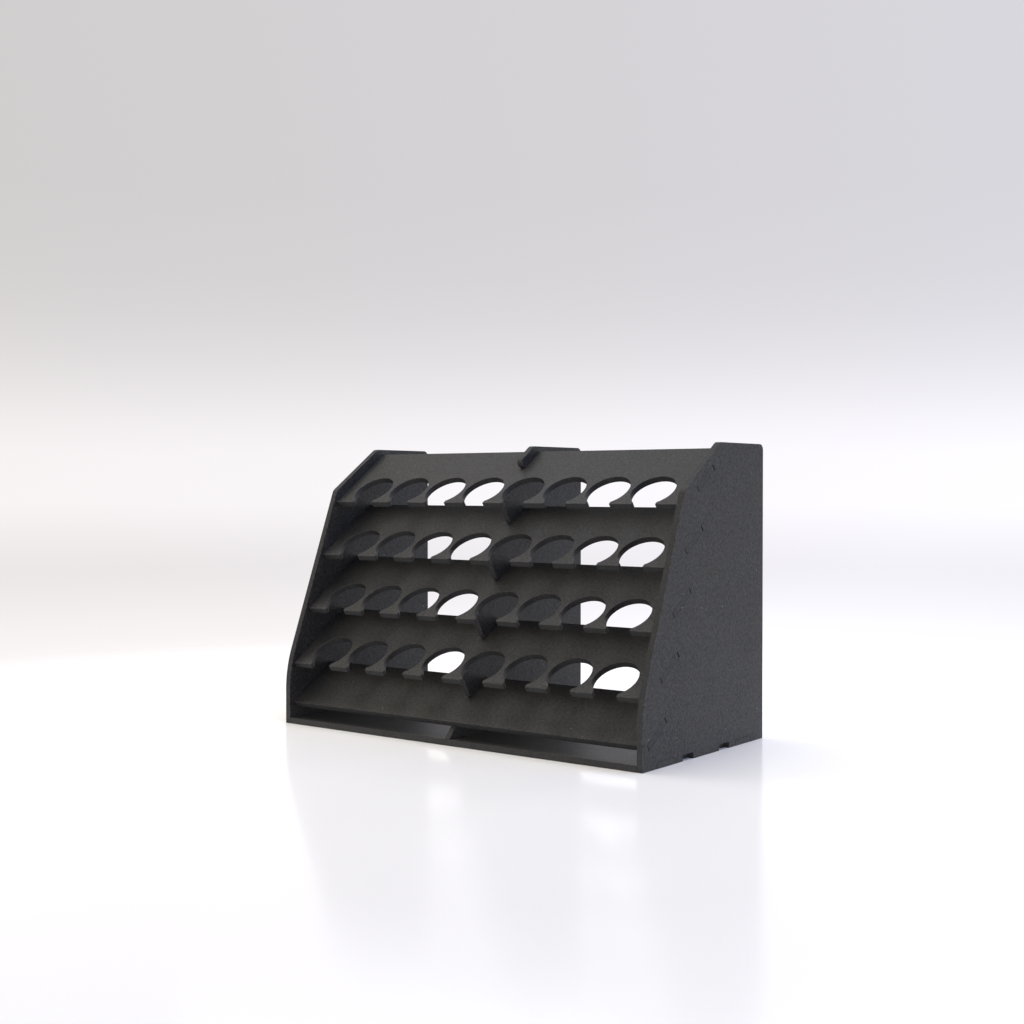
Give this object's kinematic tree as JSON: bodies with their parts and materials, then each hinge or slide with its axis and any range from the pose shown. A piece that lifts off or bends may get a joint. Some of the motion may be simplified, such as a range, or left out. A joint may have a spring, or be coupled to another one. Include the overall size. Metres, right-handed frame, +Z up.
{
  "type": "paint rack organizer",
  "caption": "Free-standing stepped rack of interlocking dark boards; sloping boards with round, open-mouthed holes hold paint bottles in rows between two side panels.",
  "frame": {"origin": "middle of the footprint, on the floor under the base plate", "axes": "+X to the right along the rows, +Y from the front to the open back, +Z up"},
  "size_m": [0.2536, 0.1274, 0.1667],
  "materials": {
    "panel_board": "dark charcoal fibreboard, satin faces with a fine grain",
    "base_board": "dark charcoal fibreboard, satin faces with a fine grain",
    "sloping_board": "dark charcoal fibreboard, satin faces with a fine grain"
  },
  "bodies": {
    "root": {"left_side_panel": "panel_board", "right_side_panel": "panel_board", "middle_divider": "panel_board", "base_plate": "base_board", "bottle_board_1": "sloping_board", "bottle_board_2": "sloping_board", "bottle_board_3": "sloping_board", "bottle_board_4": "sloping_board", "bottom_board": "sloping_board"}
  },
  "joints": []
}
